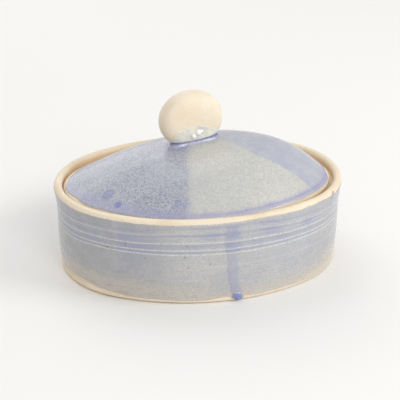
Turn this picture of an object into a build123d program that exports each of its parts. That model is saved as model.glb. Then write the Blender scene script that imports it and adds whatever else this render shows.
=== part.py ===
"""Lidded oval stoneware bowl: a ringed wall on a slab floor, a ledge inside the rim, and a domed lid
with a pebble knob.

Millimetres. +Z is up, +X runs along the oval's length, and the origin is the middle of the foot, on the
table. Ring sections are drawn with x as the distance outward from the rim's outline (negative is inward)
and y as height.
"""

import os
from math import atan2, cos, degrees, pi, sin

from build123d import *

# Bowl
LENGTH = 200.0
WIDTH = 152.0
END_RADIUS = 67.0
RIM_HEIGHT = 61.5
RIM_WALL = 5.6
SLAB_THICKNESS = 5.0
FOOT_INSET = 3.0
FOOT_BEVEL = 0.8
WALL_THICKNESS_AT_FOOT = 6.0
BELLY = (-1.8, 27.0)
NECK = (-1.4, 46.0)

# Turned hollows round the wall, with raised lines left between them: height, width and depth
TURNED_HOLLOWS = (
    (55.6, 2.8, 0.35),
    (49.2, 7.6, 0.42),
    (42.3, 4.6, 0.50),
    (38.2, 2.4, 0.45),
    (27.9, 1.4, 0.20),
)

# Ledge that carries the lid
LEDGE_TOP = 55.4
LEDGE_INSET = 17.0
LEDGE_THICKNESS = 3.6
LEDGE_ROOT = 46.0

# Lid, a little more pointed at its ends than the rim it drops into
LID_LENGTH = 184.4
LID_WIDTH = 134.0
LID_END_RADIUS = 48.0
LID_LIP = 3.7
LID_LIP_ROUNDING = 0.9
LID_WALL = 6.4
CROWN_THICKNESS = 5.5
DOME_HEIGHT = 26.7
DOME_LEAN = 26.8
DOME_POWERS = (2.74, 1.19)
DOME_SECTIONS = (1.0, 0.97, 0.9, 0.78, 0.62, 0.44, 0.25, 0.08)
LID_SHIFT = (-1.3, -2.7)

# Pebble knob
KNOB_SIZE = (47.2, 20.0, 40.4)
KNOB_CENTRE = (-3.4, 9.1, 99.8)
KNOB_TURN = 16.5
KNOB_ROLL = 7.4

# Glaze coats
GLAZE = 0.5
GLAZE_BOTTOM = 2.4
GLAZE_TOP = 58.4
LINER_TOP = 45.0
LINER_CORNER = 3.0
LID_GLAZE_START = 0.6
KNOB_GLAZE_TOP = 92.5
KNOB_GLAZE_TILT = 6.0
RUN_AT = 12.8
RUN_LEAN = 5.6
RUN_WIDTH = 5.6
RUN_THICKNESS = 0.4
RUN_TOP = 57.0
BEAD_SIZE = (6.4, 4.0, 5.0)
BEAD_HEIGHT = 3.6

RIM = (LENGTH / 2, WIDTH / 2, END_RADIUS)
LID = (LID_LENGTH / 2, LID_WIDTH / 2, LID_END_RADIUS)
LID_BASE = LEDGE_TOP
DOME_BASE = LEDGE_TOP + LID_LIP


def side_arc(outline):
    """Radius of an outline's long sides, and how far their centres are from its middle."""
    half_length, half_width, end_radius = outline
    square = half_length**2 - 2 * half_length * end_radius + half_width**2
    radius = square / (2 * (half_width - end_radius))
    return radius, radius - half_width


def outline_arcs(outline):
    """The four tangent arcs of an outline: centre, radius, start angle and sweep, in degrees."""
    end_radius = outline[2]
    end_centre = outline[0] - end_radius
    side_radius, side_centre = side_arc(outline)
    half = degrees(atan2(side_centre, end_centre))
    return (
        (Vector(end_centre, 0), end_radius, -half, 2 * half),
        (Vector(0, -side_centre), side_radius, half, 180 - 2 * half),
        (Vector(-end_centre, 0), end_radius, 180 - half, 2 * half),
        (Vector(0, side_centre), side_radius, 180 + half, 180 - 2 * half),
    )


def oval(outline, offset=0.0, height=0.0, factor=1.0):
    """A flat face inside the outline moved outward by offset, then shrunk about its middle by factor."""
    arcs = [
        CenterArc(centre * factor, (radius + offset) * factor, start, sweep)
        for centre, radius, start, sweep in outline_arcs(outline)
    ]
    return Pos(0, 0, height) * make_face(Curve() + arcs)


def ring(section):
    """Carries a section round the rim: each tangent arc is a turn about its own upright axis."""
    whole = Part()
    for centre, radius, start, sweep in outline_arcs(RIM):
        outward = Vector(1, 0).rotate(Axis.Z, start)
        across = outward.cross(Vector(0, 0, 1))
        plane = Plane(origin=centre + outward * radius, x_dir=outward, z_dir=across)
        whole += revolve(plane * section, Axis(centre, (0, 0, 1)), sweep)
    return whole


def polygon(*points):
    """A flat section through these corners."""
    return make_face(Polyline(*points, close=True))


def inner_wall(height):
    """Where the wall's inside is at a height, measured from the rim's outline."""
    foot = -FOOT_INSET - WALL_THICKNESS_AT_FOOT
    share = (height - SLAB_THICKNESS) / (LEDGE_TOP - SLAB_THICKNESS)
    return foot + share * (-RIM_WALL - foot)


def wall_section(grow=0.0):
    """The clay wall from the slab to the rounded rim. grow moves its outside outward, for its glaze."""
    rounding = RIM_WALL / 2
    rim_foot = RIM_HEIGHT - rounding
    foot = (-FOOT_INSET + grow, SLAB_THICKNESS)
    outside = Spline(
        foot,
        (BELLY[0] + grow, BELLY[1]),
        (NECK[0] + grow, NECK[1]),
        (grow, rim_foot),
    )
    rim = ThreePointArc((grow, rim_foot), (-rounding, RIM_HEIGHT + grow), (-RIM_WALL, rim_foot))
    inside = Polyline(
        (-RIM_WALL, rim_foot),
        (-RIM_WALL, LEDGE_TOP),
        (inner_wall(SLAB_THICKNESS), SLAB_THICKNESS),
        foot,
    )
    section = make_face(Curve() + [outside, rim, inside])
    for height, width, depth in TURNED_HOLLOWS:
        tool = (width**2 / 4 + depth**2) / (2 * depth)
        surface = outside_at(outside, height)
        section -= Pos(surface + tool - depth, height) * Circle(tool)
    return section


def outside_at(outside, height):
    """How far out the wall's outside is at a height."""
    cut = outside.intersect(Axis((0, height, 0), (1, 0, 0)))
    return cut.vertices()[0].X if hasattr(cut, "vertices") else cut[0].X


def oval_front(along, offset):
    """How far forward the rim's outline, moved outward by offset, reaches near the middle of a side."""
    radius, centre = side_arc(RIM)
    return centre - ((radius + offset) ** 2 - along**2) ** 0.5


def coat_section(inner, outer):
    """The skin between the outside grown by inner and by outer, carried down past the edge of the slab."""
    low_left = (Align.MIN, Align.MIN)
    foot = Pos(-FOOT_INSET + inner, 0) * Rectangle(outer - inner, SLAB_THICKNESS, align=low_left)
    skin = wall_section(outer) - wall_section(inner) + foot
    glazed = Rectangle(8 * RIM_WALL, GLAZE_TOP - GLAZE_BOTTOM, align=low_left)
    return skin & (Pos(-4 * RIM_WALL, GLAZE_BOTTOM) * glazed)


def base_slab():
    """The floor that the wall stands on, with its bare edge bevelled at the table."""
    slab = extrude(oval(RIM, -FOOT_INSET), SLAB_THICKNESS)
    return chamfer(slab.edges().group_by(Axis.Z)[0], FOOT_BEVEL)


def gallery_ledge():
    """The ring inside the rim that the lid sits on, thickest at the wall."""
    reach = polygon(
        (-RIM_WALL, LEDGE_TOP),
        (-LEDGE_INSET, LEDGE_TOP),
        (-LEDGE_INSET, LEDGE_TOP - LEDGE_THICKNESS),
        (inner_wall(LEDGE_ROOT), LEDGE_ROOT),
    )
    edge = reach.vertices().sort_by(Axis.X)[:2]
    return ring(fillet(edge, LEDGE_THICKNESS * 0.4))


def wall_glaze():
    """The blue coat on the wall's outside, from above the foot to below the bare rim."""
    return ring(coat_section(0, GLAZE))


def liner_glaze():
    """The coat inside the bowl, on the floor and up the wall to the ledge, thicker in the corner."""
    floor = SLAB_THICKNESS
    inset = -30.0
    section = polygon(
        (inner_wall(floor), floor),
        (inner_wall(LINER_TOP), LINER_TOP),
        (inner_wall(LINER_TOP) - GLAZE, LINER_TOP),
        (inner_wall(floor) - GLAZE, floor + GLAZE),
        (inset, floor + GLAZE),
        (inset, floor),
    )
    corner = section.vertices().sort_by_distance((inner_wall(floor) - GLAZE, floor + GLAZE))[0]
    plate = extrude(oval(RIM, inset, floor), GLAZE)
    return ring(fillet(corner, LINER_CORNER)) + plate


def dome_height(share, height):
    """Height of the dome where its outline is shrunk to share: flat at the edge and round on top."""
    inner, outer = DOME_POWERS
    return height * (1 - share**inner) ** outer


def dome(offset, base, height):
    """A solid dome on the lid's outline moved outward by offset, its top leaning along the length."""
    sections = []
    for share in DOME_SECTIONS:
        lean = Pos(DOME_LEAN * (1 - share), 0, 0)
        sections.append(lean * oval(LID, offset, base + dome_height(share, height), share))
    return loft(sections)


def clay_dome():
    """The outside of the lid's clay as a solid."""
    return dome(0, DOME_BASE, DOME_HEIGHT)


def lid_dome():
    """The lid's clay: an upright lip that sits on the ledge, under a hollow dome."""
    lip = extrude(oval(LID, 0, LID_BASE), LID_LIP)
    lip = chamfer(lip.edges().group_by(Axis.Z)[0], LID_LIP_ROUNDING)
    crown = DOME_BASE + DOME_HEIGHT - CROWN_THICKNESS
    hollow = dome(-LID_WALL, LID_BASE, crown - LID_BASE)
    return lip + clay_dome() - hollow


def lid_glaze(knob_shape):
    """The coat on the dome, from just above its bare edge to the knob."""
    coat = dome(GLAZE, DOME_BASE, DOME_HEIGHT + GLAZE) - clay_dome()
    above = Pos(0, 0, DOME_BASE + LID_GLAZE_START) * Box(
        LENGTH, WIDTH, 2 * DOME_HEIGHT, align=(Align.CENTER, Align.CENTER, Align.MIN)
    )
    return (coat & above) - knob_shape


def pebble(grow=0.0):
    """The hand-pressed pebble, flatter from front to back, standing on its edge."""
    half = [size / 2 + grow for size in KNOB_SIZE]
    stone = scale(Rot(90, 0, 0) * Sphere(1), by=tuple(half))
    return Pos(*KNOB_CENTRE) * Rot(0, 0, KNOB_TURN) * Rot(0, KNOB_ROLL, 0) * stone


def knob():
    """The pebble, seated on the clay of the dome."""
    return pebble() - clay_dome()


def knob_glaze(lid_coat):
    """The thin wash of glaze that rises up the knob's foot, higher on one end."""
    skin = pebble(GLAZE) - pebble() - clay_dome() - lid_coat
    below = (
        Pos(KNOB_CENTRE[0], KNOB_CENTRE[1], KNOB_GLAZE_TOP)
        * Rot(0, 0, KNOB_TURN)
        * Rot(0, -KNOB_GLAZE_TILT, 0)
        * Box(LENGTH, WIDTH, LENGTH, align=(Align.CENTER, Align.CENTER, Align.MAX))
    )
    return skin & below


def glaze_run():
    """A thick run of glaze down the near side of the wall, ending in a bead above the table."""
    coats = ring(coat_section(GLAZE, GLAZE + RUN_THICKNESS))
    front = Box(RUN_WIDTH, WIDTH, RUN_TOP, align=(Align.CENTER, Align.MAX, Align.MIN))
    strip = coats & (Pos(RUN_AT, 0, 0) * Rot(0, -RUN_LEAN, 0) * front)
    front_face = oval_front(RUN_AT, -FOOT_INSET + GLAZE)
    bead = Pos(RUN_AT, front_face, BEAD_HEIGHT) * scale(Sphere(0.5), by=BEAD_SIZE)
    return strip + (bead - extrude(oval(RIM, -FOOT_INSET + GLAZE), RIM_HEIGHT) - ring(wall_section(GLAZE)))


NODES = {
    "base_slab": base_slab,
    "bowl_wall": lambda: ring(wall_section()),
    "gallery_ledge": gallery_ledge,
    "wall_glaze": wall_glaze,
    "liner_glaze": liner_glaze,
    "glaze_run": glaze_run,
}


def main():
    os.makedirs("parts", exist_ok=True)
    for name, make in NODES.items():
        export_step(make(), f"parts/{name}.step")
    knob_shape = knob()
    lid_coat = lid_glaze(pebble())
    lid = {
        "lid_dome": lid_dome(),
        "lid_glaze": lid_coat,
        "knob": knob_shape,
        "knob_glaze": knob_glaze(lid_coat),
    }
    for name, shape in lid.items():
        export_step(Pos(*LID_SHIFT) * shape, f"parts/{name}.step")


main()
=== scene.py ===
from math import atan2, cos, pi, radians, sin

import bmesh
import bpy
import numpy as np
from mathutils import Matrix, Vector

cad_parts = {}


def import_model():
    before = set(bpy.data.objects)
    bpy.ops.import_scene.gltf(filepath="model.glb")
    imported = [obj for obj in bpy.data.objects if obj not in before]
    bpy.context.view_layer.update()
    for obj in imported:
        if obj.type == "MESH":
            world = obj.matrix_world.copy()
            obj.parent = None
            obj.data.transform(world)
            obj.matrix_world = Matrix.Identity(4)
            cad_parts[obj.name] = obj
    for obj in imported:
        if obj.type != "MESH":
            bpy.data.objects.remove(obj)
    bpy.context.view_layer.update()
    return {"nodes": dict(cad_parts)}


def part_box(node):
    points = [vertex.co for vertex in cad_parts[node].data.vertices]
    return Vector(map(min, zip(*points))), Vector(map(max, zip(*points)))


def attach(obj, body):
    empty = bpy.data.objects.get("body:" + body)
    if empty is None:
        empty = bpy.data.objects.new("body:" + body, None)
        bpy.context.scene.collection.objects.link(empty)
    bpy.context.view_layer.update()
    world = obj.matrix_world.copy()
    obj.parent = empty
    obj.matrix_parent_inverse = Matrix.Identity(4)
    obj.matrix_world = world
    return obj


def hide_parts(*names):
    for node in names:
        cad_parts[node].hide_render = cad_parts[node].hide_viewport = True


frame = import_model()
MM = 0.001

# ---------------------------------------------------------------------------------------------------
# Sizes in millimetres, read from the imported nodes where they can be.
# An outline is an oval's half length, half width and end radius.

WALL_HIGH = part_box("bowl_wall")[1] / MM
LEDGE_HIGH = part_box("gallery_ledge")[1] / MM
SLAB_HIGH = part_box("base_slab")[1] / MM
LID_LOW, LID_HIGH = (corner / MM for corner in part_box("lid_dome"))
KNOB_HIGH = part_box("knob")[1] / MM

RIM = (WALL_HIGH.x, WALL_HIGH.y, 67.0)
RIM_TOP = WALL_HIGH.z
RIM_WALL = WALL_HIGH.x - LEDGE_HIGH.x
RIM_ROUND = RIM_WALL / 2
RIM_FOOT = RIM_TOP - RIM_ROUND
LEDGE_TOP = LEDGE_HIGH.z
SLAB_TOP = SLAB_HIGH.z
FOOT_INSET = WALL_HIGH.x - SLAB_HIGH.x
WALL_THICKNESS_AT_FOOT = 6.0

# The wall's outside, as heights and how far out from the rim's outline it is at each
WALL_KNOTS = ((SLAB_TOP, -FOOT_INSET), (27.0, -1.8), (46.0, -1.4), (RIM_FOOT, 0.0))

# Turned hollows round the wall, as height, width and depth, the raised lines left between them, and how
# deep a hollow has to be to hold a full pool of glaze
HOLLOWS = ((55.6, 2.8, 0.35), (49.2, 7.6, 0.42), (42.3, 4.6, 0.50), (38.2, 2.4, 0.45))
RIDGES = (45.2, 39.8, 36.7)
RIDGE_WIDTH = 0.36
FULL_POOL = 0.45

# Fainter raised lines, as height and strength
LOW_LINE = (27.9, 0.32)
HIGH_LINE = (48.8, 0.3)
FAINT_WIDTH = 0.4

# The lid: its outline, its upright lip, how thick its clay is at the edge and at the crown, and the dome
# as height, the two powers of its curve and how far its top is from the middle, along the lid
LID_CENTRE = (LID_LOW + LID_HIGH) / 2
LID = ((LID_HIGH.x - LID_LOW.x) / 2, (LID_HIGH.y - LID_LOW.y) / 2, 48.0)
LID_BASE = LID_LOW.z
LID_LIP = 3.7
LID_WALL = 6.4
CROWN = 5.5
DOME_BASE = LID_BASE + LID_LIP
DOME_HEIGHT = 26.7
DOME_POWERS = (2.74, 1.19)
DOME_LEAN = 26.8
DOME_TOP = (LID_CENTRE.x + DOME_LEAN, LID_CENTRE.y)

# The knob: a pebble's half sizes, its middle, how it is turned and rolled, and the power that squares it
KNOB_HALF = np.array((22.8, 10.0, 20.2))
KNOB_CENTRE = np.array((LID_CENTRE.x - 3.4, LID_CENTRE.y + 9.1, KNOB_HIGH.z - 20.26))
KNOB_TURN = radians(16.5)
KNOB_ROLL = radians(7.4)
KNOB_SQUARENESS = 3.2
KNOB_FRAME = np.array(Matrix.Rotation(KNOB_TURN, 3, "Z")) @ np.array(Matrix.Rotation(KNOB_ROLL, 3, "Y"))

# Thickness of the glaze outside and inside, and the height and the rounded corner of the one inside
GLAZE = 0.42
LINER = 0.5
LINER_TOP = 44.4
LINER_CORNER = 5.0

# The run down the front, and the bead at its end as half width, half height, height of its middle, swell
RUN_TOP = 57.5
RUN_HALF_WIDTH = 4.1
BEAD = (3.5, 3.3, 3.7, 2.1)

# Where the glaze climbs the rim, as direction in degrees, height and width in degrees, and the place along
# the bowl and height of the dark mark beside the highest climb
CLIMBS = ((319, 2.9, 1.1), (334, 0.7, 2.0), (281, 0.5, 5))
CLIMB_MARK = (83.4, 58.2)

# Blue spots on the lid, as place, radius and strength, and drops on the knob's face, as place in the
# pebble's own directions, radius and height
SPOTS = ((-66.8, -32.4, 3.9, 0.42), (-61.4, -43.8, 2.1, 0.85), (-24.3, -56.5, 2.2, 0.3))
WASH_DROPS = ((2.3, -6.3, 2.1, 1.1), (-1.0, -9.0, 1.6, 1.0), (4.6, -5.4, 1.1, 0.6))

# How finely the pieces are cut round their outlines
WALL_COLUMNS = 880
RIM_COLUMNS = 720
LID_COLUMNS = 700
SLAB_COLUMNS = 540
LINER_COLUMNS = 480
DOME_COLUMNS = 420
KNOB_COLUMNS = 300

# Radii of the circles on which noise is read, so that it joins up round the bowl and round the knob
BOWL_WAY = 80
KNOB_WAY = 14


# ---------------------------------------------------------------------------------------------------
# Small tools


def tone(red, green, blue):
    """A display colour, 0 to 255 a channel, as the linear colour that shaders take."""
    channels = [c / 255 for c in (red, green, blue)]
    return tuple(c / 12.92 if c <= 0.04045 else ((c + 0.055) / 1.055) ** 2.4 for c in channels) + (1.0,)


def smooth(low, high, value):
    """0 at low, 1 at high, with a soft step between. With low over high, it steps down."""
    t = np.clip((value - low) / (high - low), 0, 1)
    return t * t * (3 - 2 * t)


def hill(value, centre, width):
    """A bell of height 1 at centre."""
    return np.exp(-(((value - centre) / width) ** 2))


def rounded(distance, width):
    """0 at an edge, rising as a quarter circle to 1 at width from it."""
    return np.sqrt(np.clip(1 - (1 - np.clip(distance / width, 0, 1)) ** 2, 0, 1))


def lattice(ix, iy, iz, seed):
    """A repeatable value from -1 to 1 for each whole-number cell, by large factors that mix the bits."""
    n = (ix * 73856093) ^ (iy * 19349663) ^ (iz * 83492791) ^ (seed * 668265263)
    n = (n & 0x7FFFFFFF) * 1274126177 & 0x7FFFFFFF
    n = ((n ^ (n >> 15)) * 2246822519) & 0x7FFFFFFF
    return ((n ^ (n >> 13)) & 0xFFFF) / 32767.5 - 1


def noise(points, size, seed=0, octaves=1):
    """Smooth noise from about -1 to 1 at points, with features about size across, in millimetres."""
    apart = 31.7
    total = np.zeros(points.shape[:-1])
    strength, full = 1.0, 0.0
    for octave in range(octaves):
        q = points / (size / 2**octave) + apart * (seed + 1 + octave)
        cell = np.floor(q).astype(np.int64)
        f = q - cell
        f = f * f * (3 - 2 * f)
        value = 0
        for dx in (0, 1):
            for dy in (0, 1):
                for dz in (0, 1):
                    weight = (
                        np.where(dx, f[..., 0], 1 - f[..., 0])
                        * np.where(dy, f[..., 1], 1 - f[..., 1])
                        * np.where(dz, f[..., 2], 1 - f[..., 2])
                    )
                    corner = lattice(cell[..., 0] + dx, cell[..., 1] + dy, cell[..., 2] + dz, seed)
                    value = value + weight * corner
        total += strength * value
        full += strength
        strength *= 0.5
    return total / full


def side_arc(outline):
    """Radius of an outline's long sides, and how far their centres are from its middle."""
    half_length, half_width, end_radius = outline
    square = half_length**2 - 2 * half_length * end_radius + half_width**2
    radius = square / (2 * (half_width - end_radius))
    return radius, radius - half_width


def around(columns, outline=RIM):
    """An outline of four tangent arcs, sampled evenly from the back: the arc's centre and radius at each
    column, and the outward direction there, as an angle, in degrees and as a vector."""
    end_radius = outline[2]
    end_centre = outline[0] - end_radius
    side_radius, side_centre = side_arc(outline)
    half = atan2(side_centre, end_centre)
    arcs = (
        ((0, -side_centre), side_radius, pi / 2, pi - half),
        ((-end_centre, 0), end_radius, pi - half, pi + half),
        ((0, side_centre), side_radius, pi + half, 2 * pi - half),
        ((end_centre, 0), end_radius, 2 * pi - half, 2 * pi + half),
        ((0, -side_centre), side_radius, 2 * pi + half, 5 * pi / 2),
    )
    lengths = [radius * (stop - start) for _, radius, start, stop in arcs]
    ends = np.cumsum(lengths)
    places = np.arange(columns) * ends[-1] / columns
    which = np.searchsorted(ends, places, side="right")
    centre = np.array([arc[0] for arc in arcs], float)[which]
    radius = np.array([arc[1] for arc in arcs])[which]
    start = np.array([arc[2] for arc in arcs])[which]
    angle = start + (places - np.r_[0, ends[:-1]][which]) / radius
    return {
        "centre": centre,
        "radius": radius,
        "angle": angle,
        "degrees": np.degrees(angle) % 360,
        "out": np.c_[np.cos(angle), np.sin(angle)],
    }


def place(oval, offset, height, share=1.0, shift_x=0.0):
    """Points at an outward offset and a height on the oval shrunk to share, as rows by columns by 3."""
    one_row = np.zeros((1, len(oval["angle"])))
    offset, height, share, shift_x, _ = np.broadcast_arrays(offset, height, share, shift_x, one_row)
    reach = (oval["radius"] + offset)[..., None] * oval["out"] + oval["centre"]
    return np.dstack((reach[..., 0] * share + shift_x, reach[..., 1] * share, height))


def facing(oval):
    """Points on a circle that follow the outward direction, for noise that must join up round the oval."""
    return np.c_[oval["out"] * BOWL_WAY, np.zeros(len(oval["out"]))]


def padded(layers, grid, before=(), after=()):
    """Layers for a grid of rows, with rows of zeros for the grids that come before and after it."""
    edges = ((len(before), len(after)), (0, 0))
    return {name: np.pad(np.broadcast_to(values, grid.shape[:2]), edges) for name, values in layers.items()}


def mesh_object(name, points, faces, layers):
    """A smooth-shaded mesh object from points in millimetres, with a float at each point for each layer."""
    mesh = bpy.data.meshes.new(name)
    mesh.from_pydata((points * MM).tolist(), [], faces)
    mesh.update()
    for layer, values in layers.items():
        attribute = mesh.attributes.new(layer, "FLOAT", "POINT")
        attribute.data.foreach_set("value", values.astype(np.float32).ravel())
    mesh.polygons.foreach_set("use_smooth", np.ones(len(mesh.polygons), bool))
    piece = bpy.data.objects.new(name, mesh)
    bpy.context.scene.collection.objects.link(piece)
    return piece


def strip_faces(rows, columns, join_rows=False, join_columns=True):
    """Quads between neighbouring rows and columns of a grid, whose first and last ones can join up."""
    faces = []
    for row in range(rows if join_rows else rows - 1):
        here = row * columns
        above = (row + 1) % rows * columns
        for column in range(columns if join_columns else columns - 1):
            after = (column + 1) % columns
            faces.append((here + column, here + after, above + after, above + column))
    return faces


def tube(name, grid, layers):
    """A closed ring: rows of the grid run round its section and join up, and so do its columns."""
    rows, columns = grid.shape[:2]
    return mesh_object(name, grid.reshape(-1, 3), strip_faces(rows, columns, join_rows=True), layers)


def shell(name, grid, start, end, layers):
    """A closed form of joined columns, ending in one point before the first row and one after the last."""
    rows, columns = grid.shape[:2]
    count = rows * columns
    faces = strip_faces(rows, columns)
    last = count - columns
    for column in range(columns):
        after = (column + 1) % columns
        faces.append((after, column, count))
        faces.append((last + column, last + after, count + 1))
    points = np.vstack((grid.reshape(-1, 3), start, end))
    full = {layer: np.r_[v.ravel(), v[0].mean(), v[-1].mean()] for layer, v in layers.items()}
    return mesh_object(name, points, faces, full)


# ---------------------------------------------------------------------------------------------------
# Shaders


class Shader:
    """A material's node tree, built a node at a time. Lengths are in millimetres."""

    def __init__(self, name, **uniform):
        self.material = bpy.data.materials.new(name)
        self.material.use_nodes = True
        self.tree = self.material.node_tree
        self.surface = next(n for n in self.tree.nodes if n.type == "BSDF_PRINCIPLED")
        for socket, value in uniform.items():
            self.surface.inputs[socket.replace("_", " ")].default_value = value
        coordinates = self.tree.nodes.new("ShaderNodeTexCoord").outputs["Object"]
        self.place = self.add("ShaderNodeVectorMath", {0: coordinates, 3: 1 / MM}, operation="SCALE")

    def put(self, socket, value):
        """Gives a socket a number, a colour or another node's output."""
        if isinstance(value, bpy.types.NodeSocket):
            self.tree.links.new(value, socket)
        else:
            socket.default_value = value

    def add(self, kind, inputs, **properties):
        """A node with these inputs and properties. Gives its first output."""
        node = self.tree.nodes.new(kind)
        for key, value in properties.items():
            setattr(node, key, value)
        for key, value in inputs.items():
            self.put(node.inputs[key], value)
        return node.outputs[0]

    def layer(self, name):
        """The value that a mesh carries at each point under this name, and 0 on a mesh without it."""
        node = self.tree.nodes.new("ShaderNodeAttribute")
        node.attribute_name = name
        return node.outputs["Fac"]

    def math(self, operation, a, b, clamp=False):
        """One sum on two values, kept between 0 and 1 if clamp is set."""
        return self.add("ShaderNodeMath", {0: a, 1: b}, operation=operation, use_clamp=clamp)

    def stretched(self, x, y, z):
        """The place with each direction scaled, for a texture with a grain."""
        return self.add("ShaderNodeVectorMath", {0: self.place, 1: (x, y, z)}, operation="MULTIPLY")

    def noise(self, size, detail=2.0, roughness=0.5, distortion=0.0, at=None):
        """Clouds from 0 to 1 with features about size across."""
        inputs = {
            "Vector": at or self.place,
            "Scale": 1 / size,
            "Detail": detail,
            "Roughness": roughness,
            "Distortion": distortion,
        }
        return self.add("ShaderNodeTexNoise", inputs)

    def step(self, value, low, high, start=0.0, end=1.0):
        """Maps low to start and high to end with a soft step."""
        inputs = {0: value, 1: low, 2: high, 3: start, 4: end}
        return self.add("ShaderNodeMapRange", inputs, interpolation_type="SMOOTHSTEP")

    def mix(self, factor, a, b):
        """Colour a where factor is 0 and colour b where it is 1."""
        node = self.tree.nodes.new("ShaderNodeMix")
        node.data_type = "RGBA"
        self.put(node.inputs[0], factor)
        self.put(node.inputs[6], a)
        self.put(node.inputs[7], b)
        return node.outputs[2]

    def specks(self, size, radius, share, strength):
        """Strength on scattered round specks and 0 between: points size apart, of which share show."""
        cells = self.add("ShaderNodeTexVoronoi", {"Vector": self.place, "Scale": 1 / size}).node
        chance = self.add("ShaderNodeSeparateColor", {0: cells.outputs["Color"]})
        shown = self.math("LESS_THAN", chance, share)
        dot = self.step(cells.outputs["Distance"], radius / size, 0.4 * radius / size)
        return self.math("MULTIPLY", self.math("MULTIPLY", dot, shown), strength)

    def bump(self, height, depth, after=None):
        """A relief of depth millimetres."""
        inputs = {"Strength": 1.0, "Distance": depth * MM, "Height": height}
        if after is not None:
            inputs["Normal"] = after
        return self.add("ShaderNodeBump", inputs)

    def use(self, colour, roughness, normal):
        """Finishes the material with these."""
        self.put(self.surface.inputs["Base Color"], colour)
        self.put(self.surface.inputs["Roughness"], roughness)
        self.put(self.surface.inputs["Normal"], normal)
        return self.material


def bare_clay(name, light, dark, iron):
    """Fired cream stoneware: dry, slightly gritty, with iron specks; browner where the mesh says, partly
    toasting and partly painted shade, and greyer where it says, as painted shade.
    """
    s = Shader(name, Specular_IOR_Level=0.32)
    broad = s.noise(28, 3)
    grain = s.noise(0.9, 3, 0.65)
    colour = s.mix(s.step(broad, 0.35, 0.7), light, dark)
    colour = s.mix(s.step(grain, 0.45, 0.75, 0, 0.35), colour, tone(205, 186, 156))
    # browner where the mesh says: toasting that varies at random on the knob, painted shade in recesses and
    # near the floor on the bowl and the lid
    colour = s.mix(s.layer("toast_and_shade"), colour, tone(205, 168, 122))
    # greyer where the mesh says: painted shade that dims the lit right side of the foot
    colour = s.mix(s.layer("painted_right_shade"), colour, tone(206, 198, 184))
    colour = s.mix(s.specks(3.4, 0.22, iron, 0.7), colour, tone(120, 92, 70))
    rough = s.step(grain, 0.3, 0.8, 0.55, 0.78)
    relief = s.bump(s.noise(0.55, 4, 0.7), 0.05)
    relief = s.bump(s.noise(6, 2), 0.18, relief)
    return s.use(colour, rough, relief)


def wall_coat(name, **uniform):
    """Blue-grey glaze on the turned wall: lavender in pools, pale on the raised lines, thin at the foot."""
    s = Shader(name, Specular_IOR_Level=0.5, **uniform)
    lavender = tone(152, 157, 188)
    clay_showing = tone(222, 208, 182)
    broad = s.noise(46, 3)
    clouds = s.noise(9, 4, 0.55)
    streaks = s.noise(6, 4, 0.6, at=s.stretched(0.28, 0.28, 2.4))
    hairlines = s.noise(0.8, 3, 0.6, at=s.stretched(0.035, 0.035, 1.0))
    grain = s.noise(0.8, 3, 0.6)
    pooled = s.math("ADD", s.layer("blue"), s.step(clouds, 0.3, 0.8, -0.08, 0.1), clamp=True)
    thin = s.math("ADD", s.layer("thin"), s.step(streaks, 0.3, 0.8, -0.14, 0.16), clamp=True)
    colour = s.mix(s.step(broad, 0.36, 0.66), tone(200, 200, 197), tone(187, 189, 195))
    # darker where the mesh says: painted shade at the wall's left and right ends, partly a darker glaze
    colour = s.mix(s.layer("shade_and_darker_glaze"), colour, tone(146, 147, 152))
    colour = s.mix(s.step(hairlines, 0.5, 0.72, 0, 0.55), colour, tone(164, 165, 169))
    colour = s.mix(s.step(clouds, 0.4, 0.72, 0, 0.45), colour, tone(200, 199, 194))
    colour = s.mix(s.step(streaks, 0.42, 0.75, 0, 0.5), colour, tone(172, 173, 179))
    colour = s.mix(pooled, colour, lavender)
    colour = s.mix(thin, colour, clay_showing)
    colour = s.mix(s.layer("crest"), colour, tone(226, 227, 220))
    colour = s.mix(s.step(grain, 0.4, 0.64, 0, 0.6), colour, tone(158, 158, 162))
    colour = s.mix(s.specks(2.4, 0.27, 0.12, 0.7), colour, tone(104, 96, 98))
    colour = s.mix(s.specks(8.0, 0.62, 0.42, 0.9), colour, tone(84, 78, 88))
    colour = s.mix(s.layer("dark"), colour, tone(104, 100, 112))
    colour = s.mix(s.layer("bead"), colour, tone(130, 133, 190))
    rough = s.step(clouds, 0.3, 0.75, 0.2, 0.34)
    relief = s.bump(s.noise(1.1, 3, 0.55), 0.02)
    relief = s.bump(hairlines, 0.025, relief)
    relief = s.bump(streaks, 0.05, relief)
    return s.use(colour, rough, relief)


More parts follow.
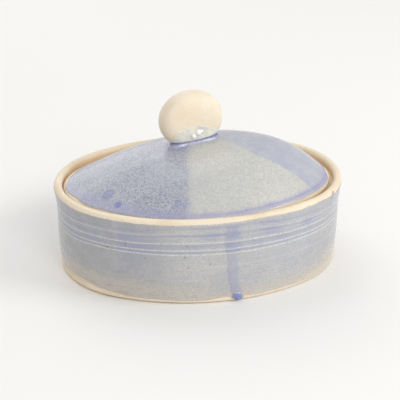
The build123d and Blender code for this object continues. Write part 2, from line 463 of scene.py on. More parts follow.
def lid_coat():
    """Three overlapping dips of glaze on the dome, mottled like grains of rice, with lavender at the edge."""
    s = Shader("lid_glaze", Coat_Weight=0.3, Coat_Roughness=0.14, Specular_IOR_Level=0.5)
    broad = s.noise(40, 3)
    clouds = s.noise(8, 3, 0.55)
    grains = s.noise(1.05, 2, 0.5, 0.6)
    fine = s.noise(0.55, 2, 0.6)
    left = s.mix(s.step(grains, 0.38, 0.62), tone(136, 141, 162), tone(186, 188, 193))
    back = s.mix(s.step(clouds, 0.35, 0.7), tone(174, 177, 192), tone(188, 190, 198))
    wedge = s.mix(s.step(grains, 0.34, 0.68), tone(187, 187, 182), tone(210, 209, 203))
    pooled = s.math("ADD", s.layer("blue"), s.step(clouds, 0.3, 0.8, -0.1, 0.1), clamp=True)
    colour = s.mix(s.layer("back_dip"), left, back)
    colour = s.mix(s.layer("wedge"), colour, wedge)
    colour = s.mix(s.step(broad, 0.42, 0.7, 0, 0.3), colour, tone(182, 186, 192))
    colour = s.mix(pooled, colour, tone(158, 157, 193))
    colour = s.mix(s.layer("spot"), colour, tone(104, 110, 178))
    colour = s.mix(s.layer("thin"), colour, tone(226, 212, 190))
    colour = s.mix(s.step(fine, 0.4, 0.75, 0, 0.2), colour, tone(140, 143, 154))
    colour = s.mix(s.specks(3.2, 0.2, 0.06, 0.5), colour, tone(112, 106, 110))
    rough = s.step(clouds, 0.3, 0.75, 0.22, 0.36)
    relief = s.bump(grains, 0.025)
    relief = s.bump(s.noise(3.5, 3, 0.5), 0.05, relief)
    return s.use(colour, rough, relief)


def foot_bead():
    """Lavender glaze that gathered round the knob's foot."""
    s = Shader("lavender_bead", Coat_Weight=0.4, Coat_Roughness=0.08, Specular_IOR_Level=0.55)
    clouds = s.noise(3, 3, 0.6)
    colour = s.mix(s.step(clouds, 0.35, 0.7), tone(160, 160, 188), tone(186, 187, 204))
    # partly painted shade: a dark blue line where the bead meets the pebble, partly glaze pooled in the
    # crevice
    colour = s.mix(s.layer("line"), colour, tone(84, 90, 148))
    return s.use(colour, s.step(clouds, 0.3, 0.8, 0.14, 0.26), s.bump(clouds, 0.06))


def knob_wash():
    """A glossy pale wash over the foot of the knob, with a painted highlight, near white, on its thick drops.
    """
    s = Shader("knob_wash", Coat_Weight=0.8, Coat_Roughness=0.03, Specular_IOR_Level=0.6)
    clouds = s.noise(3.2, 3, 0.6)
    colour = s.mix(s.step(clouds, 0.35, 0.7), tone(217, 217, 206), tone(236, 231, 217))
    colour = s.mix(s.layer("blue"), colour, tone(128, 134, 186))
    # painted highlight: near white on the drops, where the glints fall
    colour = s.mix(s.layer("painted_glint_drops"), colour, tone(252, 252, 250))
    return s.use(colour, s.step(clouds, 0.3, 0.8, 0.1, 0.2), s.bump(clouds, 0.08))


# ---------------------------------------------------------------------------------------------------
# The bowl


def wobble(out, height):
    """How uneven the thrown wall is, in and out, by outward direction and height."""
    way = np.empty(np.broadcast_shapes(out.shape[:-1], np.shape(height)) + (3,))
    way[..., :2] = out * BOWL_WAY
    way[..., 2] = height * 1.4
    return 0.22 * noise(way, 60, 3) + 0.08 * noise(way, 17, 4) - 0.12


def hollow_depth(height):
    """How far the turned hollows sink into the wall at a height."""
    return sum(depth * np.clip(1 - ((height - at) / (width / 2)) ** 2, 0, 1) for at, width, depth in HOLLOWS)


def wall_curve(height):
    """The wall's outside before turning: a smooth curve through its knots, upright below them."""
    height = np.maximum(height, SLAB_TOP)
    total = 0
    for i, (at, value) in enumerate(WALL_KNOTS):
        term = value
        for j, (other, _) in enumerate(WALL_KNOTS):
            if j != i:
                term = term * (height - other) / (at - other)
        total = total + term
    return total


def drift(angle):
    """How far the turned lines wander down and up on their way round the wall."""
    return 0.4 * np.sin(angle - 0.6) + 0.2 * np.sin(2 * angle + 1.0)


def line_height(oval, height):
    """A height on the turned pattern, which wanders, and crowds together away from the wall's middle."""
    along = np.cos(oval["angle"])
    front = 1.5 * pi
    sag = 1.4 * smooth(-0.66, -0.9, along) + 0.9 * smooth(0.8, 0.95, along)
    level = height - drift(oval["angle"]) + drift(front) + sag
    return level + 0.17 * smooth(0.19, 0.45, np.abs(along)) * np.maximum(level - RIDGES[-1], 0)


def outside(oval, height):
    """The clay's outside at a height, or at many, for each column."""
    return wall_curve(height) + wobble(oval["out"], height) - hollow_depth(line_height(oval, height))


def inside(height):
    """The clay's inside at a height."""
    foot = -FOOT_INSET - WALL_THICKNESS_AT_FOOT
    return foot + (height - SLAB_TOP) / (LEDGE_TOP - SLAB_TOP) * (-RIM_WALL - foot)


def bowl_wall():
    """The clay wall: its turned outside, its rounded bare rim, and its plain inside."""
    oval = around(RIM_COLUMNS)
    way = facing(oval)
    one_row = np.ones((1, RIM_COLUMNS))
    outer = np.linspace(SLAB_TOP, RIM_FOOT, 56)[:, None] * one_row
    down = np.linspace(RIM_FOOT, SLAB_TOP, 26)[:, None] * one_row
    turn = np.linspace(0, pi, 17)[1:-1, None]
    edge = outside(oval, RIM_FOOT)
    lift = -0.12 + 0.16 * noise(way, 34, 7) + 0.07 * noise(way, 9, 8)
    rim_out = (edge - RIM_WALL) / 2 + (edge + RIM_WALL) / 2 * np.cos(turn)
    rim_up = RIM_FOOT + (RIM_ROUND + lift) * np.sin(turn) ** 0.92
    inner = np.where(down > LEDGE_TOP, -RIM_WALL, inside(down))
    offset = np.vstack((outside(oval, outer), rim_out, inner))
    height = np.vstack((outer, rim_up, down))
    upper_inside = (offset < -RIM_WALL + 0.2) & (height > 40)
    # painted shade: browner on the rim's inside just above the ledge, where the lid shades it
    toast_and_shade = 0.75 * smooth(LEDGE_TOP + 4.6, LEDGE_TOP + 0.5, height) * upper_inside
    # browner towards the floor: partly toasting, partly painted shade near the table
    toast_and_shade += 0.25 * smooth(9, 3, height)
    return tube("bowl_wall_clay", place(oval, offset, height), {"toast_and_shade": toast_and_shade})


def base_slab():
    """The clay floor and bare foot, undercut all round by a gap that varies."""
    oval = around(SLAB_COLUMNS)
    way = facing(oval)
    side = outside(oval, SLAB_TOP)
    gap = 0.4 + 0.75 * hill(oval["degrees"], 236, 40) + 0.08 * noise(way, 22, 11) + 0.05 * noise(way, 6, 12)
    rows = [place(oval, side - 2.8, 0.0, share) for share in (0.08, 0.3, 0.6, 0.85, 0.97)]
    for out, rise in ((-2.8, 0.0), (-2.6, 0.1), (-2.2, 0.6), (-1.4, 0.8), (-0.6, 0.9), (-0.2, 1.1)):
        rows.append(place(oval, side + out, rise * gap))
    for out, above in ((-0.06, 0.3), (0.0, 0.7)):
        rows.append(place(oval, side + out, 1.1 * gap + above))
    rows += [place(oval, side, height) for height in (3.0, 4.0, SLAB_TOP)]
    rows += [place(oval, side, SLAB_TOP, share) for share in (0.93, 0.6, 0.3, 0.08)]
    grid = np.vstack(rows)
    x, z = grid[..., 0], grid[..., 2]
    layers = {
        # painted shade: browner along the bottom edge over the undercut, and more on the shaded left
        "toast_and_shade": (0.3 * smooth(1.4, 0.2, z) + 0.15 * smooth(5, 1, z)) * smooth(50, -60, x),
        # painted shade: greyer towards the right, the lit side of the foot
        "painted_right_shade": 0.85 * smooth(20, 75, x),
    }
    return shell("base_slab_clay", grid, (0, 0, 0), (0, 0, SLAB_TOP), layers)


def glaze_line_low(oval):
    """Height of the glaze's lower edge: high on the left, nearly at the table in front."""
    angle, way = oval["degrees"], facing(oval)
    bare = 2.4 + 4.6 * hill(angle, 208, 27) + 1.2 * hill(angle, 90, 60) + 1.3 * hill(angle, 272, 4)
    return np.maximum(bare + 0.6 * noise(way, 26, 21) + 0.3 * noise(way, 6, 22), 1.5)


def glaze_line_high(oval):
    """Height of the glaze's upper edge, ragged just under the rim, which it climbs in a few places."""
    angle, way = oval["degrees"], facing(oval)
    climbs = sum(height * hill(angle, at, width) for at, height, width in CLIMBS)
    sag = 1.3 * hill(angle, 330, 16)
    ragged = 0.4 * noise(way, 22, 23) + 0.32 * noise(way, 5, 24) + 0.2 * noise(way, 1.8, 25)
    return RIM_FOOT + 0.1 + ragged + climbs - sag


def wall_crest(line, x, near, flecks):
    """How pale the glaze is on the raised lines. The uppermost fades in the middle of the near side."""
    crest = sum(hill(line, ridge, RIDGE_WIDTH) for ridge in RIDGES)
    top_line = 52.4 + 0.3 * hill(x, 16, 14) - 0.2 * smooth(25, 62, x)
    crest += 0.8 * hill(line, top_line, FAINT_WIDTH) * (1 - 0.85 * near * hill(x, -10, 26))
    for (height, strength), shown in ((LOW_LINE, smooth(-14, 5, x)), (HIGH_LINE, smooth(-70, -30, x))):
        crest += strength * hill(line, height, FAINT_WIDTH) * shown
    return np.clip(crest * (0.88 + 0.25 * flecks), 0, 1)


def wall_blue(line, height, x, near, pool, clouds):
    """How lavender the glaze is: in the hollows, and in a few patches and streaks on the near side."""
    left_patch = 0.8 * smooth(-66, -63, x) * smooth(-32, -54, x) * smooth(12, 34, height)
    round_run = 0.8 * smooth(1.8, 4.2, x) * smooth(15.5, 11.5, x) * smooth(34.5, 36.5, height)
    right_patch = 0.5 * hill(x, 60, 4.0) * smooth(44, 47, height) * smooth(53, 49, height)
    faint_patch = 0.3 * hill(x, 34, 10) * smooth(44, 48, height)
    patch = near * (left_patch + round_run + right_patch + faint_patch)
    streak = 0.6 * hill(x, -22, 20) + 0.7 * hill(x, 4, 9) + 0.25 * hill(x, 26, 8)
    return (
        pool * (0.44 + 0.45 * clouds) * (1 - 0.35 * smooth(44, 50, line))
        + patch * (0.25 + 0.75 * pool)
        + streak * near * hill(line, 50.5, 0.8)
        + 0.2 * smooth(0.2, 0.7, clouds) * smooth(20, 40, height)
        + 0.25 * smooth(-70, -92, x) * smooth(30, 50, height)
        - 0.12 * near * hill(x, -10, 40) * smooth(40, 50, height)
    )


def wall_marks(height, x, near, flecks):
    """How dark the glaze is on its small marks: a scratch, a nick and the mark beside the highest climb."""
    mark_x, mark_height = CLIMB_MARK
    scratch_height = 17.6 - 0.03 * (x + 50)
    scratch = hill(height, scratch_height, 0.22) * smooth(-68, -64, x) * smooth(-31, -36, x)
    nick = hill(x, -59.4, 0.35) * smooth(40.0, 40.6, height) * smooth(45.2, 44.2, height)
    mark = hill(x - 1.1 * (height - mark_height), mark_x, 0.8) * smooth(55.4, 56.6, height)
    return near * (0.5 * scratch * (0.6 + 0.5 * flecks) + 0.5 * nick + 0.9 * mark)


def wall_glaze():
    """The glaze on the wall's outside, thick in the hollows and thin on the raised lines and at the foot."""
    oval = around(WALL_COLUMNS)
    low, high = glaze_line_low(oval), glaze_line_high(oval)
    height = low + (high - low) * np.linspace(0, 1, 196)[:, None]
    from_edge = np.minimum((height - low) / 1.3, high - height)
    clay = outside(oval, height)
    points = place(oval, clay, height)
    x, y = points[..., 0], points[..., 1]
    near = smooth(0, -30, y)
    line = line_height(oval, height)
    pool = np.clip(hollow_depth(line) / FULL_POOL, 0, 1)
    clouds = noise(points, 14, 31, 2)
    flecks = noise(points * np.array((1, 1, 3.0)), 5, 33, 2)
    crest = wall_crest(line, x, near, flecks) * smooth(0.1, 0.7, from_edge)
    reach = 12 + 5 * smooth(0, -95, x) + 3 * smooth(30, 90, x)
    uneven = 4 * noise(points * np.array((0.5, 0.5, 2.0)), 16, 32, 2)
    foot_thin = smooth(reach + 8, reach - 7, height + uneven)
    foot_thin *= 0.4 + 0.08 * smooth(0, -95, x) + 0.2 * smooth(30, 90, x)
    foot_thin += 0.45 * smooth(30, 70, x) * smooth(9.0, 2.0, height)
    thickness = GLAZE * (1 - 0.4 * crest - 0.35 * foot_thin + 0.18 * pool) + 0.03 * clouds
    thickness += 0.3 * near * hill(high - height, 0.9, 0.6) * hill(x, 17, 12)
    sunk = 0.08
    front = place(oval, clay - sunk + (thickness + sunk) * rounded(from_edge, 1), height)
    under = low + (high - low) * np.linspace(0.985, 0.015, 12)[:, None]
    back = place(oval, wall_curve(under) - 1.3, under)
    blue = wall_blue(line, height, x, near, pool, clouds)
    layers = {
        "blue": np.clip(blue * (1 - 0.7 * crest), 0, 1),
        "thin": np.clip(foot_thin + 0.3 * (1 - smooth(0, 1, from_edge)), 0, 1),
        "crest": 0.95 * crest,
        # painted shade, partly a darker glaze: darker towards the left end and the right end of the wall
        "shade_and_darker_glaze": 0.68 * smooth(-14, -66, x) + 0.48 * smooth(55, 85, x),
        "dark": np.clip(wall_marks(height, x, near, flecks), 0, 1),
    }
    return tube("wall_glaze_coat", np.vstack((front, back)), padded(layers, front, after=back))


def run_centre(height):
    """Where the run is along the bowl at a height: it leans as it goes down."""
    return 7.3 + 6.0 * np.exp(-height / 15.0) + 0.25 * np.sin(height / 4.0)


def glaze_run():
    """The run as a skin over the wall's glaze, its edges sunk into it, with a swollen bead at its end."""
    rows, across = 170, 34
    height = np.linspace(0.5, RUN_TOP, rows)[:, None] * np.ones((1, across))
    side = np.linspace(-1, 1, across)[None, :]
    wide = RUN_HALF_WIDTH + 0.5 * smooth(34, 38, height)
    wide += 0.25 * np.sin(height / 3.1) + 0.15 * np.sin(height / 1.3 + 1)
    x = run_centre(height) + side * wide
    side_radius, side_centre = side_arc(RIM)
    out = np.dstack((x / side_radius, -np.sqrt(1 - (x / side_radius) ** 2)))
    clay = wall_curve(height) + wobble(out, height) - hollow_depth(height)
    profile = 1 - side**2
    body = 0.5 * profile**0.7 * smooth(RUN_TOP, RUN_TOP - 2.5, height) - 0.16
    bead_half_width, bead_half_height, bead_middle, bead_swell = BEAD
    in_bead = 1 - (side * wide / bead_half_width) ** 2 - ((height - bead_middle) / bead_half_height) ** 2
    bead = bead_swell * np.sqrt(np.clip(in_bead, 0, 1))
    swell = np.maximum(body, bead - 0.15)
    swell = np.where(height < 2.0, np.minimum(swell, bead - 0.6), swell)
    front = side_radius + clay + GLAZE + swell
    back = side_radius + wall_curve(height) - 1.1
    outer, inner = (np.dstack((x, side_centre - np.sqrt(r**2 - x**2), height)) for r in (front, back))
    grid = np.concatenate((outer, inner[::-1]))
    total = len(grid)
    faces = strip_faces(total, across, join_rows=True, join_columns=False)
    for row in range(rows - 1):
        for column in (0, across - 1):
            corners = (row, row + 1, total - 2 - row, total - 1 - row)
            faces.append(tuple(corner * across + column for corner in corners))
    clouds = noise(outer, 5, 35, 2)
    middle = smooth(0.0, 0.5, profile)
    pool = np.clip(hollow_depth(height) / FULL_POOL, 0, 1)
    crest = sum(hill(height, ridge, RIDGE_WIDTH) for ridge in RIDGES)
    bead_edge = smooth(0.0, 0.3, in_bead) * smooth(0.75, 0.4, in_bead)
    layers = {
        "blue": np.clip(0.5 + 0.2 * clouds + 0.5 * pool, 0, 1) * middle * (1 - 0.6 * crest) + 0.3 * bead_edge,
        "crest": 0.6 * np.clip(crest, 0, 1),
        "bead": smooth(0.15, 0.75, in_bead),
        "thin": 0.3 * smooth(12, 5, height) * (1 - middle),
        "dark": 0.4 * smooth(0.12, 0.3, in_bead) * smooth(0.62, 0.4, in_bead),
    }
    layers = {name: np.concatenate((values, values[::-1])) for name, values in layers.items()}
    return mesh_object("glaze_run_blue", grid.reshape(-1, 3), faces, layers)


def liner_glaze():
    """The glaze inside the bowl: rippled walls, a rounded corner and a floor with faint rings."""
    oval = around(LINER_COLUMNS)
    way = facing(oval)
    bottom = SLAB_TOP + LINER
    corner = bottom + LINER_CORNER
    top = LINER_TOP + 0.5 * noise(way, 24, 41) + 0.2 * noise(way, 6, 42)
    height = corner + (top - corner) * np.linspace(1, 0, 46)[:, None]
    lip = rounded(top - height, 1.2)
    ripple = 0.072 * np.sin(height * 1.25 + 2 * noise(way, 60, 43))
    rows = [place(oval, inside(height) - LINER * lip + 0.05 * (1 - lip) + ripple * lip, height)]
    reach = inside(corner) - LINER - LINER_CORNER
    for turn in np.linspace(0, pi / 2, 9)[1:]:
        rows.append(place(oval, reach + LINER_CORNER * cos(turn), corner - LINER_CORNER * sin(turn)))
    for share in np.linspace(0.975, 0.006, 44):
        ring = 0.06 * sin(share * 42.0) * smooth(0.1, 0.3, share) * smooth(0.98, 0.8, share)
        rows.append(place(oval, reach, bottom + ring, share))
    buried = SLAB_TOP - 1.0
    under = [place(oval, reach, buried, share) for share in (0.006, 0.5, 0.97)]
    for level in (SLAB_TOP - 0.5, 20.0, 35.0):
        under.append(place(oval, inside(level) + 1.2, level))
    under.append(place(oval, inside(LINER_TOP - 0.4) + 1.2, top - 0.8))
    grid = np.vstack(under + rows)
    z = grid[..., 2]
    blue = 0.35 * smooth(16.0, bottom, z) * (0.7 + 0.3 * noise(grid, 20, 44))
    layers = {
        "blue": blue + 0.25 * smooth(0.1, 0.8, noise(grid, 12, 45, 2)),
        "thin": 0.5 * smooth(LINER_TOP - 1.9, LINER_TOP + 0.6, z),
        "crest": 0.25 * smooth(0.6, 1.0, np.sin(z * 1.25)) * (z > bottom + 2.5),
    }
    return shell("liner_glaze_coat", grid, (0, 0, buried), (0, 0, bottom), layers)


# ---------------------------------------------------------------------------------------------------
# The lid


def halve(low, high, reached, steps=30):
    """The values between low and high from which reached holds, found by halving."""
    for _ in range(steps):
        middle = (low + high) / 2
        there = reached(middle)
        high, low = np.where(there, middle, high), np.where(there, low, middle)
    return middle


def dome_rise(share, height=DOME_HEIGHT):
    """How far the dome stands above its base where its oval has shrunk to share."""
    inner, outer = DOME_POWERS
    return height * np.clip(1 - share**inner, 0, 1) ** outer


def lid_place(oval, offset, height, share):
    """Points on the lid: shrunk ovals whose middle leans along the lid as they shrink."""
    grid = place(oval, offset, height, share, DOME_LEAN * (1 - share))
    return grid + np.array((LID_CENTRE.x, LID_CENTRE.y, 0.0))


def dome_surface(points):
    """The height of the dome's clay over or under points."""
    side_radius, side_centre = side_arc(LID)
    end_radius = LID[2]
    end_centre = LID[0] - end_radius

    def inside_oval(share):
        x = np.abs((points[:, 0] - LID_CENTRE.x - DOME_LEAN * (1 - share)) / share)
        y = np.abs((points[:, 1] - LID_CENTRE.y) / share)
        by_end = (x - end_centre) * side_centre > y * end_centre
        past_end = np.hypot(x - end_centre, y) - end_radius
        past_side = np.hypot(x, y + side_centre) - side_radius
        return np.where(by_end, past_end, past_side) <= 0

    smallest, largest = np.full(len(points), 1e-6), np.full(len(points), 1.4)
    return DOME_BASE + dome_rise(halve(smallest, largest, inside_oval, 34))


def lid_clay():
    """The hollow clay lid: the dome, its upright lip, the rounded edge it sits on and its turned inside."""
    oval = around(DOME_COLUMNS, LID)
    wavy = 0.12 * noise(facing(oval), 30, 51) - 0.1
    rows = []
    for share in np.linspace(0.04, 1, 44) ** 0.75:
        rows.append(lid_place(oval, wavy * share, dome_rise(share) + DOME_BASE, share))
    for out, above in ((0.0, 3.5), (0.0, 2.6), (0.0, 1.1), (-0.25, 0.5), (-0.7, 0.1), (-1.2, 0.0)):
        rows.append(lid_place(oval, wavy + out, LID_BASE + above, 1.0))
    rows.append(lid_place(oval, 1.2 - LID_WALL, LID_BASE, 1.0))
    rows.append(lid_place(oval, 0.4 - LID_WALL, LID_BASE + 0.15, 1.0))
    hollow_base = LID_BASE + 0.4
    hollow_top = DOME_BASE + DOME_HEIGHT - CROWN
    for share in 1 - np.linspace(0, 0.96, 40) ** 1.3:
        ripple = 0.12 * sin(share * 60) * (1 - share)
        rise = hollow_base + ripple + dome_rise(share, hollow_top - hollow_base)
        rows.append(lid_place(oval, 0.1 - LID_WALL, rise, share))
    grid = np.vstack(rows)
    top = (*DOME_TOP, DOME_BASE + DOME_HEIGHT)
    # painted shade: browner on the lip's lowest part, which sits down in the gap inside the rim
    toast_and_shade = 0.3 * smooth(LID_BASE + 3.5, LID_BASE, grid[..., 2])
    return shell("lid_dome_clay", grid, top, (*DOME_TOP, hollow_top), {"toast_and_shade": toast_and_shade})


def lid_glaze():
    """The glaze on the dome, with its three dips marked out and a lavender band along its edge."""
    oval = around(LID_COLUMNS, LID)
    angle, way = oval["degrees"], facing(oval)
    front = smooth(196, 226, angle) * smooth(352, 338, angle)
    bare = 0.024 - 0.017 * hill(angle, 183, 14) - 0.018 * front
    edge = 1 - bare + 0.003 * noise(way, 18, 61) + 0.002 * noise(way, 5, 62)
    smallest = 0.012
    part = np.linspace(0, 1, 150)[:, None] ** 1.08
    share = edge * (1 - part) + smallest * part
    clay = lid_place(oval, 0.0, DOME_BASE + dome_rise(share), share)
    x, y = clay[..., 0], clay[..., 1]
    clouds = noise(clay, 11, 63, 2)
    ragged = 1.2 * noise(clay, 7, 65, 2)
    wedge_left = smooth(-3.5, 3.5, x - (-7.6 + 0.18 * y) + ragged + 2.0 * noise(clay, 1.6, 67))
    boundary = np.maximum(-2.6 - 1.38 * (x - 17.1), -25.0 - 0.385 * (x - 32.0))
    wedge_back = smooth(-1.1, 1.1, boundary - y + 0.6 * ragged)
    wedge = wedge_left * wedge_back
    back_dip = (1 - wedge_back) * smooth(-2.5, 2.5, x - (LID_CENTRE.x - 8 + 0.5 * (y - 4)) + ragged)
    from_rim = (edge - share) * LID[0]
    wide = 4.6 + 1.2 * hill(angle, 232, 34) + 1.04 * noise(way, 24, 66)
    band = smooth(wide + 3.2, wide - 2.4, from_rim + 1.2 * noise(clay, 1.6, 68)) * smooth(0.1, 1.3, from_rim)
    deep_line = hill(from_rim, wide * 0.8, 1.0) * smooth(255, 280, angle)
    from_knob = np.hypot(x - (KNOB_CENTRE[0] - 15), y - (KNOB_CENTRE[1] - 8))
    outside_wedge = 0.4 * smooth(17, 6, from_knob) + 0.14 * smooth(0.0, 0.8, noise(clay, 34, 64, 2))
    blue = band * (0.52 + 0.35 * clouds) + 0.45 * deep_line + outside_wedge * (1 - wedge)
    blue += 0.5 * hill(x, -19.5, 4) * hill(y, -59, 3)
    spot = 0
    for spot_x, spot_y, radius, strength in SPOTS:
        away = np.hypot(x - spot_x, y - spot_y)
        darker_edge = 0.75 + 0.4 * smooth(0.3, 0.9, away / radius)
        spot = spot + strength * smooth(radius + 0.5, radius - 0.5, away) * darker_edge
    lip = rounded(from_rim, 1.1)
    thickness = GLAZE * (1 + 0.1 * clouds + 0.22 * band - 0.14 * wedge) + 0.05 * spot
    out = -0.06 + (thickness * 0.5 + 0.06) * lip * smooth(0.55, 1.0, share)
    up = DOME_BASE + dome_rise(share) + (thickness + 0.1) * lip - 0.1
    outer = lid_place(oval, out, up, share)
    under_share = np.linspace(smallest, 0.96, 16)[:, None]
    buried = DOME_BASE - 1.5
    under = lid_place(oval, -0.4, buried + dome_rise(under_share), under_share)
    layers = {
        "blue": np.clip(blue, 0, 1),
        "wedge": wedge,
        "back_dip": back_dip,
        "spot": np.clip(spot, 0, 1),
        "thin": 0.5 * smooth(0.9, 0.0, from_rim),
    }
    start, end = (*DOME_TOP, buried + DOME_HEIGHT), (*DOME_TOP, DOME_BASE + DOME_HEIGHT + GLAZE)
    return shell("lid_glaze_coat", np.vstack((under, outer)), start, end, padded(layers, outer, before=under))


def pebble_points(directions):
    """Points of the pebble for unit directions, in its own frame: flat on both faces, a little squared and
    uneven."""
    disc = np.hypot(directions[..., 0], directions[..., 2])
    power = KNOB_SQUARENESS
    size = (disc**power + np.abs(directions[..., 1]) ** power) ** (-1 / power)
    way = np.degrees(np.arctan2(directions[..., 2], directions[..., 0]))
    size = size * (1 + disc**2 * (0.06 * hill(way, 50, 25) - 0.015 * hill(way, 126, 26)))
    surface = directions * size[..., None] * KNOB_HALF
    surface += directions * (0.2 * noise(surface, 16, 71) - 0.22)[..., None]
    return surface


def in_bowl(local):
    """Points of the pebble's own frame, in the bowl's."""
    return local @ KNOB_FRAME.T + KNOB_CENTRE


def towards(turn, lift):
    """Unit directions from a turn round the pebble and a lift above its middle."""
    return np.stack((np.cos(lift) * np.cos(turn), np.cos(lift) * np.sin(turn), np.sin(lift)), axis=-1)


def knob():
    """The clay pebble, from a sphere of even triangles."""
    bm = bmesh.new()
    bmesh.ops.create_icosphere(bm, subdivisions=6, radius=1.0)
    bm.verts.index_update()
    unit = np.array([vertex.co for vertex in bm.verts])
    faces = [[vertex.index for vertex in face.verts] for face in bm.faces]
    bm.free()
    unit /= np.linalg.norm(unit, axis=1)[:, None]
    local = pebble_points(unit)
    toast_and_shade = 0.18 * smooth(0.1, 0.8, noise(local, 12, 72))
    return mesh_object("knob_pebble", in_bowl(local), faces, {"toast_and_shade": toast_and_shade})


def round_knob():
    """Angles round the knob, and points on a circle for noise that must join up round it."""
    angle = np.arange(KNOB_COLUMNS) * 2 * pi / KNOB_COLUMNS
    return angle, np.c_[np.cos(angle) * KNOB_WAY, np.sin(angle) * KNOB_WAY, np.zeros(KNOB_COLUMNS)]


def foot_curve(angle, rise=0.0):
    """Where the pebble's surface stands a rise above the glazed dome, at each angle: lifts and points."""

    def clear_of_dome(lift):
        points = in_bowl(pebble_points(towards(angle, lift)))
        return points[:, 2] > dome_surface(points) + GLAZE + rise

    lift = halve(np.full(len(angle), radians(-88.0)), np.full(len(angle), radians(20.0)), clear_of_dome)
    return lift, in_bowl(pebble_points(towards(angle, lift)))


def wash_top(x, y):
    """Height of the wash's upper edge, in the pebble's own directions: an arc on its near face."""
    arc = -1.5 - 0.0166 * (x - 3.0) ** 2 - 12.0 * smooth(-14.0, -17.0, x)
    return arc + (-16.0 - arc) * smooth(-5.0, 0.0, y)


def knob_glaze():
    """The wash on the knob's foot, a skin over the pebble that ends in a soft uneven line."""
    angle, way = round_knob()
    foot, _ = foot_curve(angle)

    def above_wash(lift):
        local = pebble_points(towards(angle, lift))
        return local[:, 2] > wash_top(local[:, 0], local[:, 1])

    top = halve(foot, np.full(KNOB_COLUMNS, radians(15.0)), above_wash)
    reach = top - foot + radians(1.2) * noise(way, 7, 81) + radians(0.7) * noise(way, 2.5, 82)
    reach = np.maximum(reach, radians(1.5))
    part = np.linspace(-0.3, 1, 60)[:, None]
    unit = towards(angle, foot + reach * part)
    skin = pebble_points(unit)
    normal = unit / KNOB_HALF
    normal /= np.linalg.norm(normal, axis=-1)[..., None]
    # the drops are real swellings of the skin, and their height is also the mask of a painted highlight
    painted_glint_drops = 0
    for drop_x, drop_z, radius, height in WASH_DROPS:
        away = np.hypot(skin[..., 0] - drop_x, skin[..., 2] - drop_z)
        painted_glint_drops = painted_glint_drops + height * np.sqrt(np.clip(1 - (away / radius) ** 2, 0, 1)) * (skin[..., 1] < 0)
    thickness = 0.38 + 0.12 * smooth(0.5, 0.1, part) + 0.08 * noise(skin, 5, 83) + painted_glint_drops
    outer = skin + normal * (thickness * rounded((1 - part) * reach, radians(3.0)) - 0.06)[..., None]
    every = 7
    inner = (skin - normal * 0.8)[::-1][::every]
    blue = 0.9 * smooth(0.12, 0.0, part) + 0.25 * smooth(0.1, 0.8, noise(skin, 6, 84))
    layers = {"blue": np.clip(blue - painted_glint_drops, 0, 1), "painted_glint_drops": np.clip(painted_glint_drops, 0, 1)}
    return tube("knob_glaze_wash", in_bowl(np.vstack((outer, inner))), padded(layers, outer, after=inner))


def knob_bead():
    """Glaze gathered in the corner between pebble and dome, hollow in section, highest on the near side."""
    angle, way = round_knob()
    front = np.clip(0.3 - np.sin(angle), 0, 1)
    _, top = foot_curve(angle, 1.2 + 2.7 * front + 0.2 * noise(way, 8, 91))
    out = top - top.mean(0)
    out[:, 2] = 0
    out /= np.linalg.norm(out, axis=1)[:, None]
    top = top - out * 0.35
    reach = out * (1.2 + 1.4 * front + 0.3 * noise(way, 6, 92))[:, None]
    start = top[:, 2] - dome_surface(top) - GLAZE
    rows = []
    for part in np.linspace(0, 1, 14):
        at = top + reach * part
        rows.append(np.c_[at[:, :2], dome_surface(at) + GLAZE + start * (1 - part) ** 2 - 0.25 * part])
    for part in (0.9, 0.5, 0.0, -0.5):
        at = top + reach * part
        rows.append(np.c_[at[:, :2], dome_surface(at) - 0.2])
    rows.append(np.c_[(top - out * 0.9)[:, :2], top[:, 2] - 0.5])
    # the dark line along the top rows, where the bead meets the pebble: partly pooled glaze, partly painted
    # shade in the crevice
    line = np.zeros((len(rows), KNOB_COLUMNS))
    line[:6] = np.array((1.0, 1.0, 0.95, 0.75, 0.4, 0.15))[:, None]
    return tube("knob_foot_bead", np.array(rows), {"line": line})


# ---------------------------------------------------------------------------------------------------
# Putting it together


def outward(piece):
    """Makes every face of a closed mesh point out."""
    bm = bmesh.new()
    bm.from_mesh(piece.data)
    bmesh.ops.recalc_face_normals(bm, faces=bm.faces)
    bm.to_mesh(piece.data)
    bm.free()


def dress(piece, material, body, slot, *nodes):
    """Points a piece's faces out, gives it its material and its body, and hides the nodes it stands in for.
    The slot is not used.
    """
    outward(piece)
    piece.data.materials.append(material)
    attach(piece, body)
    if nodes:
        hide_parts(*nodes)


clay = bare_clay("bare_clay", tone(241, 228, 205), tone(232, 215, 188), 0.10)
knob_clay = bare_clay("knob_clay", tone(241, 229, 209), tone(234, 219, 194), 0.03)
coat = wall_coat("wall_glaze", Coat_Weight=0.25, Coat_Roughness=0.12)
run_coat = wall_coat("cobalt_run", Coat_Weight=0.45, Coat_Roughness=0.07)
dress(base_slab(), clay, "bowl", "bare_clay", "base_slab")
dress(bowl_wall(), clay, "bowl", "bare_clay", "bowl_wall")
dress(wall_glaze(), coat, "bowl", "blue_grey_glaze", "wall_glaze")
dress(glaze_run(), run_coat, "bowl", "cobalt_glaze", "glaze_run")
dress(liner_glaze(), coat, "bowl", "blue_grey_glaze", "liner_glaze")
dress(lid_clay(), clay, "lid", "bare_clay", "lid_dome")
dress(lid_glaze(), lid_coat(), "lid", "blue_grey_glaze", "lid_glaze")
dress(knob(), knob_clay, "lid", "knob_clay", "knob")
dress(knob_glaze(), knob_wash(), "lid", "blue_grey_glaze", "knob_glaze")
dress(knob_bead(), foot_bead(), "lid", "blue_grey_glaze")

ledge = frame["nodes"]["gallery_ledge"]
ledge.data.materials.clear()
ledge.data.materials.append(clay)


# ---------------------------------------------------------------------------------------------------
# Floor, light and camera, in metres


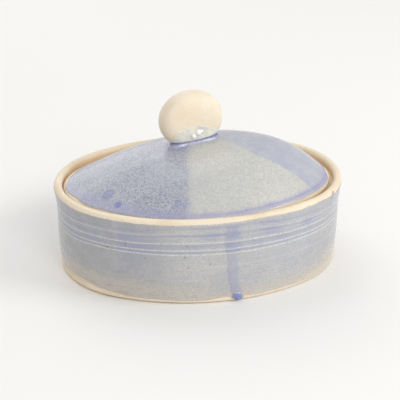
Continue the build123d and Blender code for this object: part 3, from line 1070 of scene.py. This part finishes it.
def floor(half_side, colour):
    """A plain square under the bowl."""
    mesh = bpy.data.meshes.new("floor")
    corners = [(x * half_side, y * half_side, 0) for x, y in ((-1, -1), (1, -1), (1, 1), (-1, 1))]
    mesh.from_pydata(corners, [], [(0, 1, 2, 3)])
    plane = bpy.data.objects.new("floor", mesh)
    bpy.context.scene.collection.objects.link(plane)
    material = bpy.data.materials.new("floor")
    material.use_nodes = True
    surface = next(n for n in material.node_tree.nodes if n.type == "BSDF_PRINCIPLED")
    surface.inputs["Base Color"].default_value = colour
    surface.inputs["Roughness"].default_value = 0.8
    surface.inputs["Specular IOR Level"].default_value = 0.2
    mesh.materials.append(material)


def area_light(name, position, target, size, power):
    """A soft lamp at a position, facing a target."""
    data = bpy.data.lights.new(name, "AREA")
    data.shape = "RECTANGLE"
    data.size, data.size_y = size
    data.energy = power
    lamp = bpy.data.objects.new(name, data)
    lamp.location = position
    lamp.rotation_mode = "QUATERNION"
    lamp.rotation_quaternion = (Vector(target) - Vector(position)).to_track_quat("-Z", "Y")
    bpy.context.scene.collection.objects.link(lamp)


def world(colour, strength):
    """Even light from all round."""
    light = bpy.data.worlds.new("studio")
    light.use_nodes = True
    background = light.node_tree.nodes["Background"]
    background.inputs["Color"].default_value = colour
    background.inputs["Strength"].default_value = strength
    bpy.context.scene.world = light


def camera(turn, tilt, distance, lens, shift):
    """A camera turned round the bowl and tilted down at the middle of its height."""
    aim = Vector((0, 0, RIM_TOP / 2)) * MM
    back = Vector((-sin(turn) * cos(tilt), -cos(turn) * cos(tilt), sin(tilt)))
    data = bpy.data.cameras.new("camera")
    data.lens = lens
    data.sensor_width = 36
    data.shift_x, data.shift_y = shift
    eye = bpy.data.objects.new("camera", data)
    eye.location = aim + back * distance
    eye.rotation_mode = "QUATERNION"
    eye.rotation_quaternion = (-back).to_track_quat("-Z", "Y")
    bpy.context.scene.collection.objects.link(eye)
    bpy.context.scene.camera = eye


bpy.context.scene.view_settings.view_transform = "Standard"
floor(half_side=6.0, colour=(0.90, 0.89, 0.875, 1))
world(colour=(1.0, 0.995, 0.985, 1), strength=0.61)
area_light("key", position=(1.35, -0.65, 1.0), target=(0, 0, 0.04), size=(0.8, 0.8), power=11.0)
area_light("front", position=(0.35, -1.7, 1.15), target=(0, 0, 0.04), size=(0.8, 0.6), power=9.0)
area_light("top", position=(-0.3, 1.1, 1.5), target=(0, 0.1, 0), size=(1.6, 1.4), power=6.0)
area_light("sweep", position=(-0.9, 2.2, 0.9), target=(0, 0.2, 0.05), size=(2.8, 1.5), power=12.5)
camera(turn=radians(10.8), tilt=radians(25.1), distance=0.8, lens=102.24, shift=(0.0031, 0.0354))
